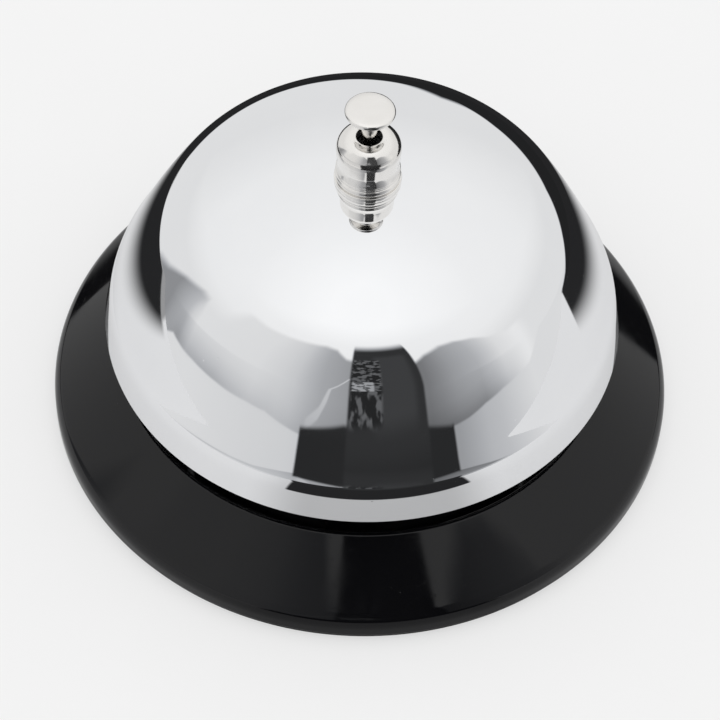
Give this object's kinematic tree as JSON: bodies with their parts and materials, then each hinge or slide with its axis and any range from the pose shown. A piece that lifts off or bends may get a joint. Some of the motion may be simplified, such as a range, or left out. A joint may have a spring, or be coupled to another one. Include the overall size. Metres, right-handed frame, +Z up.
{
  "type": "service bell",
  "caption": "Counter call bell: chromed gong on a hollow stem over a black flared base; a sprung push button tips a pivoted hammer inside it.",
  "frame": {"origin": "centre of the footprint, on the surface the bell stands on", "axes": "+Z up along the stem, +X towards the side of the gong that the hammer strikes, +Y along the hammer's pivot pin"},
  "size_m": [0.085, 0.085, 0.0554],
  "materials": {
    "black_enamel": "gloss black enamel",
    "black_rubber": "matt",
    "zinc_plate": "satin zinc plate",
    "spring_steel": "drawn wire",
    "blackened_steel": "black oxide",
    "brass": "turned",
    "fibre": "vulcanised fibre",
    "chrome": "mirror chrome plate",
    "nickel": "bright nickel plate"
  },
  "bodies": {
    "base": {"base_shell": "black_enamel", "foot_ring": "black_rubber", "bracket": "zinc_plate", "bracket_rivet_1": "zinc_plate", "bracket_rivet_2": "zinc_plate", "bracket_rivet_3": "zinc_plate", "bracket_rivet_4": "zinc_plate", "stem": "brass", "lock_washer": "zinc_plate", "lock_nut": "zinc_plate", "gong_seat_washer": "fibre", "gong": "chrome", "nut_washer": "nickel", "cap_nut": "nickel", "pivot_pin": "zinc_plate", "return_spring": "spring_steel"},
    "plunger": {"push_button": "nickel", "plunger_collar": "blackened_steel"},
    "hammer": {"hammer_lever": "zinc_plate", "pivot_bush": "brass", "striker": "brass"}
  },
  "joints": [
    {"name": "plunger_press", "type": "slide", "parent": "base", "child": "plunger", "axis": [0, 0, -1], "range_m": [0, 0.0032], "stiffness_N_per_m": 600, "springref_m": -0.002, "deforming": ["return_spring"]},
    {"name": "hammer_swing", "type": "hinge", "parent": "base", "child": "hammer", "pos_m": [0.008, 0, 0.027], "axis": [0, -1, 0], "range_deg": [0, 21.8]}
  ],
  "couplings": [
    {"joint": "hammer_swing", "follows": "plunger_press", "rad_per_m": 118.75}
  ]
}
